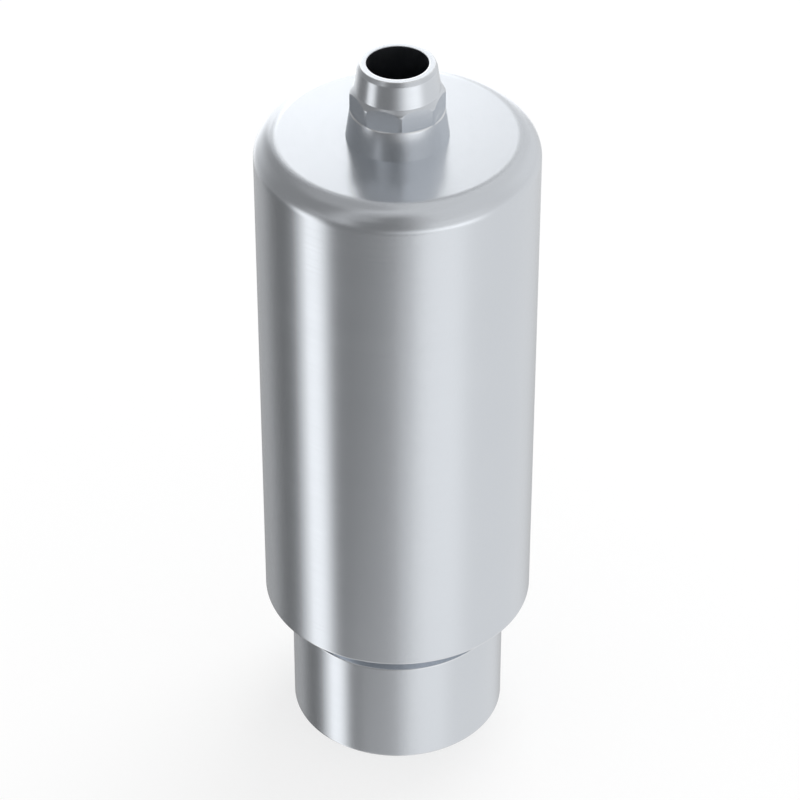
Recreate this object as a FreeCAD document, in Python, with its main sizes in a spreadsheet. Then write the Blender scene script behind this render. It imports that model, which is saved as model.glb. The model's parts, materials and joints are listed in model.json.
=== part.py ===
import FreeCAD, Part
import Sketcher
import os

# Premilled dental abutment blank, turned and milled from one titanium bar
#
# The blank stands on its clamping spigot, with the implant connection on top. Sizes are in
# millimetres and angles in degrees. +Z runs up the blank's axis, the origin is the centre of the
# spigot's foot, and one corner of the octagon points along -Y.
#
# From the foot up it has a clamping spigot, a relief groove under the shoulder that seats in the
# milling holder, the cylindrical body that becomes the finished abutment, and the connection: an
# 8 degree self-locking taper, a ledge, an octagon whose corners are turned down to narrow lands, a
# sloping shoulder that rounds over into the lands, and a tapered tip with a chamfer. The screw
# drops in from the foot, its head comes to rest on a conical seat below the connection, and its
# shank leaves through the tip.

NODE_NAME = "abutment_blank"

SIZES = [
    ("body_diameter", 10.0, "cylinder that is milled into the abutment"),
    ("body_length", 20.0, "shoulder on the holder to the top face"),
    ("top_edge_radius", 0.83, "rounding of the body's top edge"),
    ("edge_break", 0.05, "chamfer on the body's and the spigot's lower edges"),
    ("spigot_diameter", 8.0, "clamping spigot"),
    ("spigot_length", 5.56, "foot to the shoulder on the holder"),
    ("relief_width", 1.14, "relief groove, below the shoulder"),
    ("relief_depth", 0.4, "relief groove, in from the spigot's surface"),
    ("taper_height", 1.08, "top face to the ledge"),
    ("taper_half_angle", 8.0, "slope of the taper from the axis"),
    ("octagon_flats", 8, "number of flats"),
    ("octagon_across_flats", 3.1, "flat to opposite flat"),
    ("octagon_height", 0.645, "ledge to the corner of land and shoulder, before its rounding"),
    ("octagon_corner_relief", 0.025, "metal turned off each sharp corner"),
    ("shoulder_angle", 45.0, "slope of the shoulder above the lands from the axis"),
    ("shoulder_rounding", 0.15, "rounding between the lands and the shoulder"),
    ("tip_step", 0.055, "flats in to the foot of the tip"),
    ("tip_height", 0.83, "tapered part of the tip"),
    ("tip_half_angle", 8.0, "slope of the tip from the axis"),
    ("tip_chamfer_height", 0.15, "chamfer round the tip's end"),
    ("tip_chamfer_angle", 25.0, "slope of that chamfer from the axis"),
    ("screw_hole_diameter", 2.14, "hole for the screw's shank"),
    ("screw_head_diameter", 2.7, "channel for the screw's head"),
    ("screw_seat_angle", 90.0, "included angle of the conical seat"),
    ("screw_seat_depth", 1.0, "top face down to the narrow end of the seat"),
]

# Radii and heights that features share, as expressions of the sizes above

BODY_RADIUS = "Sizes.body_diameter / 2"
TOP_FACE = "(Sizes.spigot_length + Sizes.body_length)"

SPIGOT_RADIUS = "Sizes.spigot_diameter / 2"
SHOULDER = "Sizes.spigot_length"
RELIEF_RADIUS = "(Sizes.spigot_diameter / 2 - Sizes.relief_depth)"
RELIEF_FOOT = "(Sizes.spigot_length - Sizes.relief_width)"

FLAT_DISTANCE = "(Sizes.octagon_across_flats / 2)"
HALF_CORNER_ANGLE = "(180 / Sizes.octagon_flats)"
LAND_RADIUS = f"({FLAT_DISTANCE} / cos({HALF_CORNER_ANGLE}) - Sizes.octagon_corner_relief)"
TAPER_RADIUS = f"({LAND_RADIUS} + Sizes.taper_height * tan(Sizes.taper_half_angle))"
LEDGE = f"({TOP_FACE} + Sizes.taper_height)"
LAND_TOP = f"({LEDGE} + Sizes.octagon_height)"

TIP_RADIUS = f"({FLAT_DISTANCE} - Sizes.tip_step)"
TIP_FOOT = f"({LAND_TOP} + ({LAND_RADIUS} - {TIP_RADIUS}) / tan(Sizes.shoulder_angle))"
CHAMFER_RADIUS = f"({TIP_RADIUS} - Sizes.tip_height * tan(Sizes.tip_half_angle))"
CHAMFER_FOOT = f"({TIP_FOOT} + Sizes.tip_height)"
END_RADIUS = f"({CHAMFER_RADIUS} - Sizes.tip_chamfer_height * tan(Sizes.tip_chamfer_angle))"
END_FACE = f"({CHAMFER_FOOT} + Sizes.tip_chamfer_height)"

HOLE_RADIUS = "(Sizes.screw_hole_diameter / 2)"
HEAD_RADIUS = "(Sizes.screw_head_diameter / 2)"
SEAT_TOP = f"({TOP_FACE} - Sizes.screw_seat_depth)"
SEAT_FOOT = f"({SEAT_TOP} - ({HEAD_RADIUS} - {HOLE_RADIUS}) / tan(Sizes.screw_seat_angle / 2))"

# The centre line and the foot plane, where an outline needs no dimension
ON_AXIS = "0"
AT_FOOT = "0"

# How a sketch numbers the points of an edge, its own two axes and its origin
WHOLE_EDGE, START, END = range(3)
UPWARD_AXIS, ACROSS_AXIS = range(-2, 0)
ORIGIN = ACROSS_AXIS

EDGE_TOLERANCE = 1e-6


def make_sheet(doc):
    """The spreadsheet of the driving sizes: name, value and meaning in each row."""
    sheet = doc.addObject("Spreadsheet::Sheet", "Sizes")
    for row, (alias, value, meaning) in enumerate(SIZES, start=1):
        sheet.set(f"A{row}", alias)
        sheet.set(f"B{row}", str(value))
        sheet.set(f"C{row}", meaning)
        sheet.setAlias(f"B{row}", alias)
    doc.recompute()


def origin_feature(body, role):
    """One of the body's own origin planes or axes."""
    return next(f for f in body.Origin.OriginFeatures if f.Role == role)


def new_sketch(body, name, plane_role):
    """An empty sketch on one of the body's own origin planes."""
    sketch = body.newObject("Sketcher::SketchObject", name)
    sketch.AttachmentSupport = [(origin_feature(body, plane_role), "")]
    sketch.MapMode = "FlatFace"
    return sketch


def dimension(sketch, kind, expression, *points):
    """A dimension that follows an expression of the driving sizes."""
    number = sketch.addConstraint(Sketcher.Constraint(kind, *points, sketch.evalExpression(expression)))
    sketch.setExpression(f"Constraints[{number}]", expression)


def draw_closed_outline(sketch, spots):
    """Straight edges from spot to spot and back to the first, joined end to start."""
    edges = list(range(len(spots)))
    following = edges[1:] + edges[:1]
    for edge, next_edge in zip(edges, following):
        sketch.addGeometry(Part.LineSegment(spots[edge], spots[next_edge]))
    for edge, next_edge in zip(edges, following):
        sketch.addConstraint(Sketcher.Constraint("Coincident", edge, END, next_edge, START))


def draw_half_section(sketch, corners):
    """A closed outline of straight edges through corners given as (radius, height)."""
    draw_closed_outline(sketch, [
        FreeCAD.Vector(sketch.evalExpression(radius), sketch.evalExpression(height), 0)
        for radius, height in corners
    ])
    for edge, (radius, height) in enumerate(corners):
        if radius == ON_AXIS:
            sketch.addConstraint(Sketcher.Constraint("PointOnObject", edge, START, UPWARD_AXIS))
        else:
            dimension(sketch, "DistanceX", radius, ORIGIN, START, edge, START)
        if height == AT_FOOT:
            sketch.addConstraint(Sketcher.Constraint("PointOnObject", edge, START, ACROSS_AXIS))
        else:
            dimension(sketch, "DistanceY", height, ORIGIN, START, edge, START)


def turn(body, feature_type, name, corners):
    """A shape turned about the blank's axis, added or cut away."""
    sketch = new_sketch(body, f"{name}Section", "XZ_Plane")
    draw_half_section(sketch, corners)
    feature = body.newObject(feature_type, name)
    feature.Profile = sketch
    feature.ReferenceAxis = (sketch, ["V_Axis"])
    feature.Angle = 360
    return feature


def mill_octagon(body):
    """The octagon: one flat milled down to the ledge, then repeated round the axis."""
    sketch = new_sketch(body, "FlatOutline", "XY_Plane")
    flat_turn = FreeCAD.Rotation(FreeCAD.Vector(0, 0, 1), sketch.evalExpression(HALF_CORNER_ANGLE))
    sketch.AttachmentOffset = FreeCAD.Placement(FreeCAD.Vector(), flat_turn)
    sketch.setExpression("AttachmentOffset.Base.z", LEDGE)
    sketch.setExpression("AttachmentOffset.Rotation.Angle", HALF_CORNER_ANGLE)

    near = sketch.evalExpression(FLAT_DISTANCE)
    far = sketch.evalExpression(TAPER_RADIUS)
    draw_closed_outline(sketch, [
        FreeCAD.Vector(near, -far, 0),
        FreeCAD.Vector(far, -far, 0),
        FreeCAD.Vector(far, far, 0),
        FreeCAD.Vector(near, far, 0),
    ])
    lower, outer, upper, flat = range(sketch.GeometryCount)
    sketch.addConstraint(Sketcher.Constraint("Horizontal", lower))
    sketch.addConstraint(Sketcher.Constraint("Horizontal", upper))
    sketch.addConstraint(Sketcher.Constraint("Vertical", outer))
    sketch.addConstraint(Sketcher.Constraint("Symmetric", flat, START, flat, END, ACROSS_AXIS))
    dimension(sketch, "DistanceX", FLAT_DISTANCE, ORIGIN, START, flat, START)
    dimension(sketch, "DistanceX", TAPER_RADIUS, ORIGIN, START, outer, START)
    dimension(sketch, "DistanceY", f"2 * {TAPER_RADIUS}", outer, START, outer, END)

    flat_cut = body.newObject("PartDesign::Pocket", "Flat")
    flat_cut.Profile = sketch
    flat_cut.Type = "Length"
    flat_cut.Reversed = True
    flat_cut.setExpression("Length", f"{TIP_FOOT} - {LEDGE}")

    pattern = body.newObject("PartDesign::PolarPattern", "Octagon")
    pattern.Originals = [flat_cut]
    pattern.Axis = (origin_feature(body, "Z_Axis"), [""])
    pattern.Angle = 360
    pattern.setExpression("Occurrences", "Sizes.octagon_flats")
    body.Tip = pattern
    return [flat_cut, pattern]


def ring_edge(body, radius, height):
    """The name of the tip's circular edge that has this radius and height."""
    wanted_radius = body.evalExpression(radius)
    wanted_height = body.evalExpression(height)
    for number, edge in enumerate(body.Tip.Shape.Edges, start=1):
        curve = edge.Curve
        if not isinstance(curve, Part.Circle):
            continue
        radius_error = abs(curve.Radius - wanted_radius)
        height_error = abs(curve.Center.z - wanted_height)
        if max(radius_error, height_error) < EDGE_TOLERANCE:
            return f"Edge{number}"
    raise RuntimeError(f"no edge of radius {radius} at height {height}")


def dress_edges(body, feature_type, name, size_property, size, edges):
    """A fillet or a chamfer on circular edges given as (radius, height)."""
    base = body.Tip
    names = [ring_edge(body, radius, height) for radius, height in edges]
    feature = body.newObject(feature_type, name)
    feature.Base = (base, names)
    feature.setExpression(size_property, size)
    return feature


def make_blank(doc):
    """The whole blank, as one body."""
    body = doc.addObject("PartDesign::Body", "AbutmentBlank")
    body.Label = NODE_NAME

    turn(body, "PartDesign::Revolution", "SpigotAndBody", [
        (ON_AXIS, AT_FOOT),
        (SPIGOT_RADIUS, AT_FOOT),
        (SPIGOT_RADIUS, SHOULDER),
        (BODY_RADIUS, SHOULDER),
        (BODY_RADIUS, TOP_FACE),
        (ON_AXIS, TOP_FACE),
    ])
    turn(body, "PartDesign::Revolution", "Connection", [
        (ON_AXIS, TOP_FACE),
        (TAPER_RADIUS, TOP_FACE),
        (LAND_RADIUS, LEDGE),
        (LAND_RADIUS, LAND_TOP),
        (TIP_RADIUS, TIP_FOOT),
        (CHAMFER_RADIUS, CHAMFER_FOOT),
        (END_RADIUS, END_FACE),
        (ON_AXIS, END_FACE),
    ])
    relief = turn(body, "PartDesign::Groove", "ReliefGroove", [
        (RELIEF_RADIUS, RELIEF_FOOT),
        (SPIGOT_RADIUS, RELIEF_FOOT),
        (SPIGOT_RADIUS, SHOULDER),
        (RELIEF_RADIUS, SHOULDER),
    ])
    channel = turn(body, "PartDesign::Groove", "ScrewChannel", [
        (ON_AXIS, AT_FOOT),
        (HEAD_RADIUS, AT_FOOT),
        (HEAD_RADIUS, SEAT_FOOT),
        (HOLE_RADIUS, SEAT_TOP),
        (HOLE_RADIUS, END_FACE),
        (ON_AXIS, END_FACE),
    ])
    doc.recompute()

    shoulder_edge = dress_edges(
        body, "PartDesign::Fillet", "ShoulderEdge", "Radius", "Sizes.shoulder_rounding",
        [(LAND_RADIUS, LAND_TOP)],
    )
    doc.recompute()
    octagon = mill_octagon(body)
    doc.recompute()

    top_edge = dress_edges(
        body, "PartDesign::Fillet", "TopEdge", "Radius", "Sizes.top_edge_radius",
        [(BODY_RADIUS, TOP_FACE)],
    )
    doc.recompute()
    breaks = dress_edges(
        body, "PartDesign::Chamfer", "EdgeBreaks", "Size", "Sizes.edge_break",
        [(BODY_RADIUS, SHOULDER), (SPIGOT_RADIUS, AT_FOOT)],
    )
    doc.recompute()
    return body, [relief, channel, shoulder_edge, *octagon, top_edge, breaks]


def check_document(doc, cuts, sub_parts):
    """Stops if a feature failed, a cut took nothing away or a sub-part isn't a valid solid."""
    for item in doc.Objects:
        if "Invalid" in item.State or "Error" in item.State:
            raise RuntimeError(f"{item.Label} failed: {item.State}")
    for cut in cuts:
        if cut.Shape.Volume >= cut.BaseFeature.Shape.Volume:
            raise RuntimeError(f"{cut.Label} took nothing away")
    for sub_part in sub_parts:
        if sub_part.Shape.isNull() or not sub_part.Shape.isValid():
            raise RuntimeError(f"{sub_part.Label} has no valid shape")


def main():
    doc = FreeCAD.newDocument("AbutmentBlank")
    make_sheet(doc)
    blank, cuts = make_blank(doc)
    check_document(doc, cuts, [blank])
    os.makedirs("parts", exist_ok=True)
    blank.Shape.exportStep(os.path.join("parts", f"{blank.Label}.step"))
    box = blank.Shape.BoundBox
    print(f"{blank.Label}: volume {blank.Shape.Volume:.2f} mm3, height {box.ZLength:.3f} mm")


main()
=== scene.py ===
import json
from math import acos, cos, pi, radians, sin, sqrt, tan

import bmesh
import bpy
from mathutils import Matrix, Vector


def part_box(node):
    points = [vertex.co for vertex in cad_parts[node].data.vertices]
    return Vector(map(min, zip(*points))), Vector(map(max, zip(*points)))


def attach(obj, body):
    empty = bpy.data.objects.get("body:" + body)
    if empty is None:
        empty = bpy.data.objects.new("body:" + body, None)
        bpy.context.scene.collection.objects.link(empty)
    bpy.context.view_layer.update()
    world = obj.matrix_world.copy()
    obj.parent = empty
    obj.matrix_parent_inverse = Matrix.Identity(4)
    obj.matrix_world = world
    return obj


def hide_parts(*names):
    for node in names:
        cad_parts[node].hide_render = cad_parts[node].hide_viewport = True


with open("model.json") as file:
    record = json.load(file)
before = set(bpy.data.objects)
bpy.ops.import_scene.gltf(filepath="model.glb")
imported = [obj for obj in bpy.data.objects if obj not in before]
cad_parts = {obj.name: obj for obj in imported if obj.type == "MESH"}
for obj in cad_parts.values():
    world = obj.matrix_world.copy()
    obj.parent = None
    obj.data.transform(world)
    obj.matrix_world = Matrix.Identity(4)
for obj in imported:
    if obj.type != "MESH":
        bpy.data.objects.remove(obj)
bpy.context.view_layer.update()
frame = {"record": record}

# A premilled dental abutment blank, turned from titanium, standing on its clamping spigot
#
# The blank's and the camera's lengths are in millimetres until they go into a mesh or an object.
# Meshes, objects and the studio's own lengths are in metres.

MM = 0.001

NODE = "abutment_blank"


def mount_radius(name):
    """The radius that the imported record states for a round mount."""
    return next(m for m in frame["record"]["mounts"] if m["name"] == name)["dims"]["r_mm"]


# The blank's sizes: what the frame states comes from the frame

low_corner, high_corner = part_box(NODE)
BODY_RADIUS = round((high_corner[0] - low_corner[0]) / 2 / MM, 1)
SPIGOT_RADIUS = mount_radius("spigot")
HEAD_RADIUS = mount_radius("screw_channel")
HOLE_RADIUS = mount_radius("screw_hole")

BODY_FOOT = 5.56
BODY_LENGTH = 20.0
TOP_EDGE_RADIUS = 0.83
EDGE_BREAK = 0.05
RELIEF_WIDTH = 1.14
RELIEF_DEPTH = 0.4

TAPER_HEIGHT = 1.08
SELF_LOCKING_ANGLE = radians(8)
FLAT_COUNT = 8
ACROSS_FLATS = 3.1
OCTAGON_HEIGHT = 0.645
CORNER_RELIEF = 0.025
SHOULDER_ANGLE = radians(45)
SHOULDER_ROUNDING = 0.15
TIP_STEP = 0.055
TIP_HEIGHT = 0.83
TIP_CHAMFER_HEIGHT = 0.15
TIP_CHAMFER_ANGLE = radians(25)
SEAT_DEPTH = 1.0

# Roundings of edges that are sharp in the solid

GROOVE_LIP_ROUNDING = 0.03
GROOVE_ROUNDING = 0.05
LEDGE_ROUNDING = 0.05
TIP_CHAMFER_ROUNDING = 0.12
END_ROUNDING = 0.015
HOLE_ROUNDING = 0.02

# Heights above the foot, and radii, that follow from the sizes

TOP_FACE = BODY_FOOT + BODY_LENGTH
RELIEF_FOOT = BODY_FOOT - RELIEF_WIDTH
RELIEF_RADIUS = SPIGOT_RADIUS - RELIEF_DEPTH

FLAT_DISTANCE = ACROSS_FLATS / 2
LAND_RADIUS = FLAT_DISTANCE / cos(pi / FLAT_COUNT) - CORNER_RELIEF
TAPER_RADIUS = LAND_RADIUS + TAPER_HEIGHT * tan(SELF_LOCKING_ANGLE)
LEDGE = TOP_FACE + TAPER_HEIGHT
LAND_TOP = LEDGE + OCTAGON_HEIGHT
TIP_RADIUS = FLAT_DISTANCE - TIP_STEP
TIP_FOOT = LAND_TOP + (LAND_RADIUS - TIP_RADIUS) / tan(SHOULDER_ANGLE)
CHAMFER_FOOT = TIP_FOOT + TIP_HEIGHT
CHAMFER_RADIUS = TIP_RADIUS - TIP_HEIGHT * tan(SELF_LOCKING_ANGLE)
END_FACE = CHAMFER_FOOT + TIP_CHAMFER_HEIGHT
END_RADIUS = CHAMFER_RADIUS - TIP_CHAMFER_HEIGHT * tan(TIP_CHAMFER_ANGLE)

SEAT_TOP = TOP_FACE - SEAT_DEPTH
SEAT_FOOT = SEAT_TOP - (HEAD_RADIUS - HOLE_RADIUS)

# The camera, fitted to the photograph's circles: its distance from the axis, its height, how far
# it looks down, and how far it stands round the axis. The shift is a share of the picture's width.

CAMERA_DISTANCE = 97.51
CAMERA_HEIGHT = 88.42
CAMERA_PITCH = radians(37.34)
CAMERA_TURN = radians(3.1)
CAMERA_LENS = 151.13
SENSOR_WIDTH = 36
CAMERA_SHIFT = 2.455 / 800
CLIP_START = 0.01

CAMERA_SIDE = Vector((-sin(CAMERA_TURN), -cos(CAMERA_TURN), 0))
CAMERA_RIGHT = Vector((cos(CAMERA_TURN), -sin(CAMERA_TURN), 0))


def direction(azimuth, elevation):
    """A unit vector: azimuth from the camera's side of the blank to its right, in degrees."""
    across = sin(radians(azimuth)) * CAMERA_RIGHT + cos(radians(azimuth)) * CAMERA_SIDE
    return across * cos(radians(elevation)) + Vector((0, 0, sin(radians(elevation))))


def finished_mesh(name, mesh):
    """The data that a mesh under construction turns into."""
    data = bpy.data.meshes.new(name)
    mesh.to_mesh(data)
    mesh.free()
    return data


def placed(name, data):
    """A new object in the scene."""
    thing = bpy.data.objects.new(name, data)
    bpy.context.collection.objects.link(thing)
    return thing


# The blank's section. A rounding smaller than the radius below on an outer edge is rubbed bright,
# which is partly rubbing and partly a painted highlight along the edge, and every straight has
# a point near each of its ends, so that the shading turns on the roundings only.

WORN_HIGHLIT_RADIUS = 0.1
EDGE_MARGIN = 0.05


def rounded(corners):
    """A closed outline's points and how far each is rubbed bright, which is partly a painted
    highlight.

    A corner is its radius and height, and the radius and number of steps of its rounding.
    """
    arcs = []
    count = len(corners)
    for index, (r, z, radius, steps) in enumerate(corners):
        corner = Vector((r, z))
        before = Vector(corners[index - 1][:2]) - corner
        after = Vector(corners[(index + 1) % count][:2]) - corner
        if steps == 0 or radius == 0:
            arcs.append(([corner] * (steps + 1), 0.0))
            continue
        half = before.angle(after) / 2
        bisector = (before.normalized() + after.normalized()).normalized()
        start = corner + before.normalized() * radius / tan(half)
        middle = corner + bisector * radius / sin(half)
        convex = before.x * after.y < before.y * after.x
        turn = (pi - 2 * half) / steps * (1 if convex else -1)
        arc = [
            middle + Matrix.Rotation(turn * step, 2) @ (start - middle)
            for step in range(steps + 1)
        ]
        arcs.append((arc, float(convex and radius < WORN_HIGHLIT_RADIUS)))
    points = []
    for (arc, worn_and_highlit), (following, _) in zip(arcs, arcs[1:] + arcs[:1]):
        points += [(point, worn_and_highlit) for point in arc]
        straight = following[0] - arc[-1]
        margin = straight.normalized() * min(EDGE_MARGIN, straight.length / 3)
        points += [(arc[-1] + margin, 0.0), (following[0] - margin, 0.0)]
    return points


def shoulder_height(radius):
    """Height of the shoulder at a radius: a cone that rounds over into the lands."""
    lean = (radius - LAND_RADIUS) / SHOULDER_ROUNDING + 1
    if lean < cos(SHOULDER_ANGLE):
        return LAND_TOP + (LAND_RADIUS - radius) / tan(SHOULDER_ANGLE)
    rise = sqrt(max(0.0, 1 - lean * lean)) - tan(SHOULDER_ANGLE / 2)
    return LAND_TOP + SHOULDER_ROUNDING * rise


BREAK_STEPS = 6
TOP_EDGE_STEPS = 18
TIP_CHAMFER_STEPS = 4
END_STEPS = 5
SHOULDER_STEPS = 12


def section(flat_offset):
    """The blank's half section where the nearest flat's middle is flat_offset radians away."""
    flat_radius = min(FLAT_DISTANCE / cos(flat_offset), LAND_RADIUS)
    ledge_rounding = min(LEDGE_ROUNDING, 0.5 * (LAND_RADIUS - flat_radius))
    shoulder_radii = [
        flat_radius + (TIP_RADIUS - flat_radius) * (step / SHOULDER_STEPS) ** 2
        for step in range(SHOULDER_STEPS)
    ]
    return rounded([
        (HEAD_RADIUS, 0, EDGE_BREAK, BREAK_STEPS),
        (SPIGOT_RADIUS, 0, EDGE_BREAK, BREAK_STEPS),
        (SPIGOT_RADIUS, RELIEF_FOOT, GROOVE_LIP_ROUNDING, BREAK_STEPS),
        (RELIEF_RADIUS, RELIEF_FOOT, GROOVE_ROUNDING, BREAK_STEPS),
        (RELIEF_RADIUS, BODY_FOOT, GROOVE_ROUNDING, BREAK_STEPS),
        (BODY_RADIUS, BODY_FOOT, EDGE_BREAK, BREAK_STEPS),
        (BODY_RADIUS, TOP_FACE, TOP_EDGE_RADIUS, TOP_EDGE_STEPS),
        (TAPER_RADIUS, TOP_FACE, 0, 0),
        (LAND_RADIUS, LEDGE, ledge_rounding, BREAK_STEPS),
        (flat_radius, LEDGE, 0, 0),
        *((radius, shoulder_height(radius), 0, 0) for radius in shoulder_radii),
        (TIP_RADIUS, TIP_FOOT, 0, 0),
        (CHAMFER_RADIUS, CHAMFER_FOOT, TIP_CHAMFER_ROUNDING, TIP_CHAMFER_STEPS),
        (END_RADIUS, END_FACE, END_ROUNDING, END_STEPS),
        (HOLE_RADIUS, END_FACE, HOLE_ROUNDING, BREAK_STEPS),
        (HOLE_RADIUS, SEAT_TOP, 0, 0),
        (HEAD_RADIUS, SEAT_FOOT, 0, 0),
    ])


FLAT_STEPS = 24
LAND_STEPS = 2


def column_azimuths():
    """Azimuths round the blank, in radians, with a column on both edges of every land."""
    sector = 2 * pi / FLAT_COUNT
    land_edge = acos(FLAT_DISTANCE / LAND_RADIUS)
    columns = []
    for flat in range(FLAT_COUNT):
        middle = (flat + 0.5) * sector
        for step in range(FLAT_STEPS):
            offset = land_edge * (2 * step / FLAT_STEPS - 1)
            columns.append((middle + offset, offset))
        for step in range(LAND_STEPS):
            offset = land_edge + (sector - 2 * land_edge) * step / LAND_STEPS
            columns.append((middle + offset, min(offset, sector - offset)))
    return columns


WALL_MARGIN = 0.01


def inside_bore(point):
    """Whether a point (radius, height) of the section is on the wall that the drills left."""
    in_hole = point.x < HOLE_RADIUS + WALL_MARGIN
    in_channel = point.x < HEAD_RADIUS + WALL_MARGIN and point.y < SEAT_TOP
    return in_hole or in_channel


WELD_DISTANCE = 1e-4
SLIVER_LENGTH = 1e-5
SHARP_ANGLE = radians(16)


def make_blank():
    """The whole blank as one closed mesh, with its small outer edges marked for rubbing and a
    painted highlight, and its bore's wall marked for its rougher finish and painted shade.
    """
    mesh = bmesh.new()
    wear_and_highlight = mesh.verts.layers.float.new("wear_and_highlight")
    drilled_and_shaded = mesh.verts.layers.float.new("drilled_and_shaded")
    columns = []
    for azimuth, flat_offset in column_azimuths():
        column = []
        for point, worn_and_highlit in section(flat_offset):
            place = Vector((point.x * cos(azimuth), point.x * sin(azimuth), point.y))
            vert = mesh.verts.new(place * MM)
            vert[wear_and_highlight] = worn_and_highlit
            vert[drilled_and_shaded] = float(inside_bore(point))
            column.append(vert)
        columns.append(column)
    for column, following in zip(columns, columns[1:] + columns[:1]):
        for row in range(len(column)):
            after = (row + 1) % len(column)
            mesh.faces.new((column[row], following[row], following[after], column[after]))
    bmesh.ops.remove_doubles(mesh, verts=mesh.verts, dist=WELD_DISTANCE * MM)
    bmesh.ops.dissolve_degenerate(mesh, edges=mesh.edges, dist=SLIVER_LENGTH * MM)
    bmesh.ops.recalc_face_normals(mesh, faces=mesh.faces)
    data = finished_mesh("blank", mesh)
    data.shade_smooth()
    data.set_sharp_from_angle(angle=SHARP_ANGLE)
    blank = placed("turned_blank", data)
    weighted = blank.modifiers.new("facet_normals", "WEIGHTED_NORMAL")
    weighted.keep_sharp = True
    return blank


class Nodes:
    """A node tree with short calls to add a node and to join two sockets."""

    def __init__(self, tree):
        self.tree = tree
        self.tree.nodes.clear()

    def add(self, kind, inputs=None, **settings):
        """A new node, whose inputs are joined to sockets or set to values."""
        node = self.tree.nodes.new(kind)
        for name, value in settings.items():
            setattr(node, name, value)
        for name, value in (inputs or {}).items():
            if isinstance(value, bpy.types.NodeSocket):
                self.tree.links.new(value, node.inputs[name])
            else:
                node.inputs[name].default_value = value
        return node

    def math(self, operation, first, second=0.0):
        inputs = {0: first, 1: second}
        return self.add("ShaderNodeMath", inputs, operation=operation).outputs[0]

    def span(self, value, low, high):
        """A value from 0 to 1, spread from low to high."""
        inputs = {"Value": value, "To Min": low, "To Max": high}
        return self.add("ShaderNodeMapRange", inputs).outputs[0]

    def blend(self, share, first, second):
        """The first colour where the share is 0, the second where it is 1."""
        inputs = {"Factor": share, "A": first, "B": second}
        return self.add("ShaderNodeMix", inputs, data_type="RGBA").outputs[2]

    def noise(self, scale, detail, place):
        """Noise that changes in every direction."""
        inputs = {"Vector": place, "Scale": scale, "Detail": detail}
        return self.add("ShaderNodeTexNoise", inputs).outputs["Fac"]

    def line_noise(self, scale, detail, along):
        """Noise that changes along one line only."""
        inputs = {"W": along, "Scale": scale, "Detail": detail}
        return self.add("ShaderNodeTexNoise", inputs, noise_dimensions="1D").outputs["Fac"]

    def attribute(self, name):
        """A value that the mesh's vertices carry."""
        return self.add("ShaderNodeAttribute", attribute_name=name).outputs["Fac"]


def new_material(name):
    """An empty material and its nodes."""
    material = bpy.data.materials.new(name)
    material.use_nodes = True
    return material, Nodes(material.node_tree)


# The metal: how fine its patterns are, in noise cells to the metre, and its colours

MARK_SCALE = 9000.0
WAVE_SCALE = 900.0
CLOUD_SCALE = 300.0
GRAIN_SCALE = 14000.0
BARE_DARK = (0.68, 0.71, 0.75, 1)
BARE_LIGHT = (0.70, 0.73, 0.77, 1)
# Lighter colour of rubbed edges: partly rubbing, partly a painted highlight.
RUBBED_HIGHLIGHT = (0.80, 0.815, 0.835, 1)
# Darker colour of the bore: painted shade in the hole, not a colour of the metal.
BORE_PAINTED_SHADE = (0.34, 0.36, 0.39, 1)
RUBBED_HIGHLIGHT_SHARE = 0.6
MARK_ROUGHNESS = (0.205, 0.265)
CLOUD_ROUGHNESS = (-0.02, 0.02)
WAVE_ROUGHNESS = (-0.012, 0.012)
RUBBED_SMOOTHNESS = 0.05
DRILLED_ROUGHNESS = 0.1
GRAIN_SHARE = 0.5
BUMP_STRENGTH = 0.02
BUMP_DISTANCE = 0.00001


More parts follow.
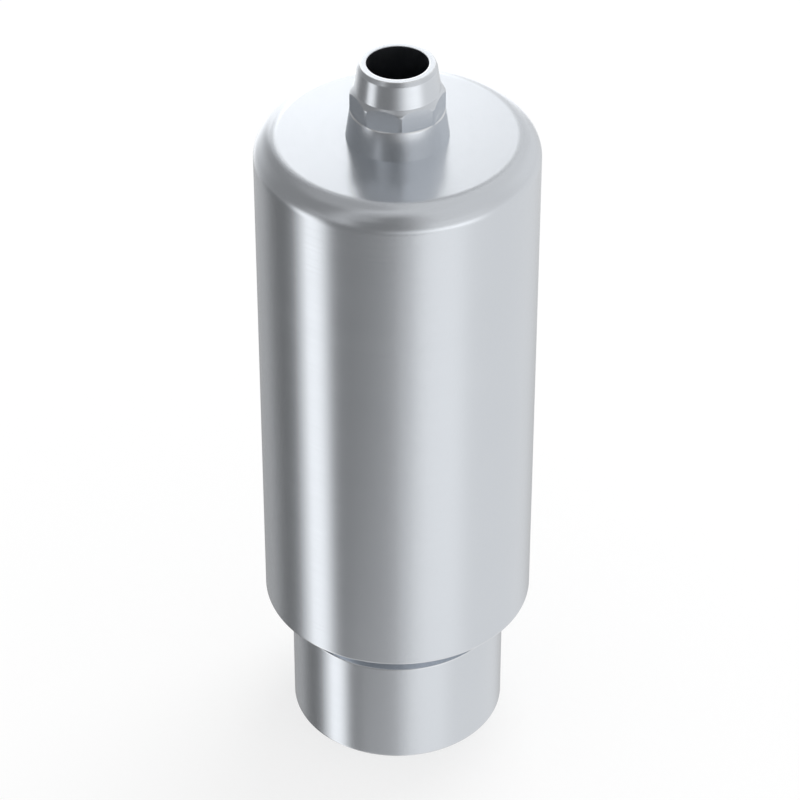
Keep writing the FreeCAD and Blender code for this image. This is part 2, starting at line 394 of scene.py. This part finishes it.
def titanium():
    """Satin titanium: fine turning marks round the axis, edges rubbed bright with a painted
    highlight, a rougher bore darkened by painted shade.
    """
    material, nodes = new_material("satin_titanium")
    place = nodes.add("ShaderNodeTexCoord").outputs["Object"]
    split = nodes.add("ShaderNodeSeparateXYZ", {"Vector": place}).outputs
    squares = nodes.math("ADD", nodes.math("MULTIPLY", split["X"], split["X"]),
                         nodes.math("MULTIPLY", split["Y"], split["Y"]))
    radius = nodes.math("SQRT", squares)
    along = nodes.math("SUBTRACT", split["Z"], radius)
    marks = nodes.line_noise(MARK_SCALE, 3.0, along)
    waves = nodes.line_noise(WAVE_SCALE, 2.0, along)
    cloud = nodes.noise(CLOUD_SCALE, 3.0, place)
    grain = nodes.noise(GRAIN_SCALE, 2.0, place)
    wear_and_highlight = nodes.attribute("wear_and_highlight")
    drilled_and_shaded = nodes.attribute("drilled_and_shaded")

    roughness = nodes.span(marks, *MARK_ROUGHNESS)
    roughness = nodes.math("ADD", roughness, nodes.span(cloud, *CLOUD_ROUGHNESS))
    roughness = nodes.math("ADD", roughness, nodes.span(waves, *WAVE_ROUGHNESS))
    smoother = nodes.math("MULTIPLY", wear_and_highlight, RUBBED_SMOOTHNESS)
    roughness = nodes.math("SUBTRACT", roughness, smoother)
    rougher = nodes.math("MULTIPLY", drilled_and_shaded, DRILLED_ROUGHNESS)
    roughness = nodes.math("ADD", roughness, rougher)

    colour = nodes.blend(cloud, BARE_DARK, BARE_LIGHT)
    # Painted highlight: small outer edges are blended towards a lighter colour, beside their real
    # smoothness.
    colour = nodes.blend(nodes.math("MULTIPLY", wear_and_highlight, RUBBED_HIGHLIGHT_SHARE), colour, RUBBED_HIGHLIGHT)
    # Painted shade: the bore's wall is blended to a darker colour; its extra roughness is the
    # drilled finish.
    colour = nodes.blend(drilled_and_shaded, colour, BORE_PAINTED_SHADE)

    height = nodes.math("ADD", marks, nodes.math("MULTIPLY", grain, GRAIN_SHARE))
    bump = nodes.add("ShaderNodeBump", {
        "Height": height,
        "Strength": BUMP_STRENGTH,
        "Distance": BUMP_DISTANCE,
    })
    shader = nodes.add("ShaderNodeBsdfPrincipled", {
        "Base Color": colour,
        "Metallic": 1.0,
        "Roughness": roughness,
        "Normal": bump.outputs["Normal"],
    })
    nodes.add("ShaderNodeOutputMaterial", {"Surface": shader.outputs[0]})
    return material


# The studio: white all round, with dark flags and brighter strips far from the blank
#
# A panel's azimuths run from the camera's side of the blank to its right, in degrees, and its
# brightness is 1 where it is as bright as the white. In each of its two ranges it fades in from
# the first number to the second and out from the third to the fourth. The last ones lie on top.

PANELS = [
    # name, azimuths, elevations, brightness
    ("ceiling", (-180, -180, 180, 180), (30, 70, 90, 90), 0.70),
    ("ground", (-180, -180, 180, 180), (-90, -90, -15, 10), 0.51),
    ("left_ceiling", (-180, -175, -70, -35), (40, 60, 84, 90), 0.46),
    ("right_wall", (10, 30, 135, 190), (-40, -30, 60, 85), 0.74),
    ("right_back_wall", (85, 120, 140, 172), (-20, 10, 20, 55), 0.84),
    ("front_wall", (-80, -70, -5, 35), (-40, -30, 65, 88), 0.56),
    ("left_wall", (-180, -150, -58, -44), (-40, -30, 50, 80), 0.29),
    ("left_high_wall", (-180, -175, -95, -72), (44, 60, 84, 90), 0.42),
    ("left_fill", (-80, -62, -58, -44), (-16, -8, 8, 20), 0.44),
    ("back_left_panel", (-180, -180, -155, -103), (-45, -18, 3, 38), 0.85),
    ("right_floor", (-12, 12, 125, 172), (-90, -90, -10, 5), 0.84),
    ("back_left_floor", (-180, -180, -150, -112), (-90, -90, -45, -22), 0.40),
    ("left_flag", (-140, -108, -100, -85), (-90, -90, -31, -11), 0.17),
    ("front_flag", (-68, -52, -40, 18), (-90, -90, -12, 5), 0.23),
    ("low_front_grey", (-52, -34, -10, 12), (-90, -90, -47, -37), 0.52),
    ("camera_flag", (-40, -26, -6, 36), (-38, -27, 47, 78), 0.24),
    ("front_high_fill", (-56, -44, -20, -4), (48, 62, 78, 90), 0.66),
    ("high_left_fill", (-44, -30, -24, -10), (20, 34, 60, 80), 0.42),
    ("right_fill", (14, 34, 60, 80), (-8, 2, 16, 26), 0.80),
    ("key_strip", (-89, -78, -69, -51), (-90, -90, -20, -2), 1.37),
    ("right_low_glow", (8, 26, 44, 68), (-50, -36, -34, -27), 1.06),
    ("right_glow", (-24, 50, 50, 78), (-28, -18, -16, -5), 1.46),
    ("right_back_fill", (138, 154, 169, 173), (14, 22, 37, 41), 0.77),
    ("back_ceiling", (160, 170, 190, 200), (36, 41, 50, 60), 0.52),
    ("back_white", (157, 168, 184, 190), (-36, -22, 0, 18), 1.35),
    ("back_left_white", (178, 186, 200, 210), (-32, -20, 20, 36), 1.35),
    ("back_left_low_white", (194, 202, 204, 221), (-32, -20, -4, 16), 1.35),
    ("back_white_top", (174, 180, 187, 195), (0, 10, 33, 36), 2.03),
]
PANEL_DISTANCE = 0.9
PANEL_SPACING = 0.01
PANEL_STEPS = 48


def panel_material(name, brightness):
    """A glow that is clear where the panel's cover ends."""
    material, nodes = new_material(name)
    cover = nodes.attribute("cover")
    grey = (brightness, brightness, brightness, 1)
    glow = nodes.add("ShaderNodeEmission", {"Color": grey}).outputs[0]
    clear = nodes.add("ShaderNodeBsdfTransparent").outputs[0]
    mix = nodes.add("ShaderNodeMixShader", {0: cover, 1: clear, 2: glow}).outputs[0]
    nodes.add("ShaderNodeOutputMaterial", {"Surface": mix})
    material.cycles.emission_sampling = "NONE"
    return material


def smooth_step(value, start, end):
    """0 up to start, 1 from end on, and a smooth slope between them."""
    if start == end:
        return 1.0
    share = max(0.0, min(1.0, (value - start) / (end - start)))
    return share * share * (3 - 2 * share)


def fade(value, fade_range):
    """How much of a panel there is at one azimuth or elevation."""
    start, full_from, full_to, end = fade_range
    return smooth_step(value, start, full_from) * smooth_step(-value, -end, -full_to)


def make_panel(order, name, azimuths, elevations, brightness):
    """A curved panel that only reflections show."""
    mesh = bmesh.new()
    cover = mesh.verts.layers.float.new("cover")
    distance = PANEL_DISTANCE - order * PANEL_SPACING
    rows = []
    for across in range(PANEL_STEPS + 1):
        azimuth = azimuths[0] + (azimuths[3] - azimuths[0]) * across / PANEL_STEPS
        row = []
        for up in range(PANEL_STEPS + 1):
            elevation = elevations[0] + (elevations[3] - elevations[0]) * up / PANEL_STEPS
            vert = mesh.verts.new(direction(azimuth, elevation) * distance)
            vert[cover] = fade(azimuth, azimuths) * fade(elevation, elevations)
            row.append(vert)
        rows.append(row)
    for row, next_row in zip(rows, rows[1:]):
        for up in range(PANEL_STEPS):
            mesh.faces.new((row[up], next_row[up], next_row[up + 1], row[up + 1]))
    data = finished_mesh(name, mesh)
    data.materials.append(panel_material(name, brightness))
    panel = placed(name, data)
    panel.visible_camera = False
    panel.visible_diffuse = False
    panel.visible_shadow = False


def seen(nodes):
    """1 for rays that show the background: the camera's, and those off metal and through glass."""
    path = nodes.add("ShaderNodeLightPath").outputs
    direct = nodes.math("MAXIMUM", path["Is Camera Ray"], path["Is Glossy Ray"])
    return nodes.math("MAXIMUM", direct, path["Is Transmission Ray"])


FLOOR_RADIUS = 0.4
FLOOR_SIDES = 96
FLOOR_PAINT = (0.36, 0.36, 0.36, 1)
FLOOR_GLOW = 0.66


def make_floor():
    """A plain white floor that keeps the blank's soft shadow."""
    mesh = bmesh.new()
    bmesh.ops.create_circle(mesh, cap_ends=True, segments=FLOOR_SIDES, radius=FLOOR_RADIUS)
    data = finished_mesh("floor", mesh)
    material, nodes = new_material("floor_white")
    strength = nodes.math("MULTIPLY", seen(nodes), FLOOR_GLOW)
    glow = nodes.add("ShaderNodeEmission", {"Strength": strength})
    paint = nodes.add("ShaderNodeBsdfDiffuse", {"Color": FLOOR_PAINT})
    both = nodes.add("ShaderNodeAddShader", {0: glow.outputs[0], 1: paint.outputs[0]})
    nodes.add("ShaderNodeOutputMaterial", {"Surface": both.outputs[0]})
    data.materials.append(material)
    floor = placed("floor", data)
    floor.visible_glossy = False


WHITE = (1, 1, 1, 1)
AMBIENT = 0.72


def make_world():
    """White where it is seen, and a plain grey light on what isn't metal."""
    world = bpy.data.worlds.new("studio")
    world.use_nodes = True
    nodes = Nodes(world.node_tree)
    ambient = nodes.add("ShaderNodeBackground", {"Color": WHITE, "Strength": AMBIENT}).outputs[0]
    white = nodes.add("ShaderNodeBackground", {"Color": WHITE, "Strength": 1.0}).outputs[0]
    mix = nodes.add("ShaderNodeMixShader", {0: seen(nodes), 1: ambient, 2: white}).outputs[0]
    nodes.add("ShaderNodeOutputWorld", {"Surface": mix})
    bpy.context.scene.world = world


LAMP_SIZE = 0.2
LAMP_ENERGY = 0.36
LAMP_DISTANCE = 0.35
LAMP_AZIMUTH = 150
LAMP_ELEVATION = 62


def make_lamp():
    """A large soft lamp overhead, which gives the floor its shadow."""
    light = bpy.data.lights.new("softbox", "AREA")
    light.shape = "DISK"
    light.size = LAMP_SIZE
    light.energy = LAMP_ENERGY
    lamp = placed("softbox", light)
    lamp.location = direction(LAMP_AZIMUTH, LAMP_ELEVATION) * LAMP_DISTANCE
    lamp.rotation_euler = lamp.location.to_track_quat("Z", "Y").to_euler()
    lamp.visible_glossy = False


def make_camera():
    """The camera that the photograph was taken with, as far as its circles show."""
    data = bpy.data.cameras.new("camera")
    data.sensor_width = SENSOR_WIDTH
    data.lens = CAMERA_LENS
    data.shift_x = CAMERA_SHIFT
    data.clip_start = CLIP_START
    camera = placed("camera", data)
    camera.location = CAMERA_SIDE * CAMERA_DISTANCE * MM + Vector((0, 0, CAMERA_HEIGHT * MM))
    camera.rotation_euler = (pi / 2 - CAMERA_PITCH, 0, -CAMERA_TURN)
    bpy.context.scene.camera = camera


blank = make_blank()
blank.data.materials.append(titanium())
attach(blank, "root")
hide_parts(NODE)

make_floor()
make_world()
make_lamp()
for order, panel in enumerate(PANELS):
    make_panel(order, *panel)
make_camera()
bpy.context.scene.view_settings.view_transform = "Standard"
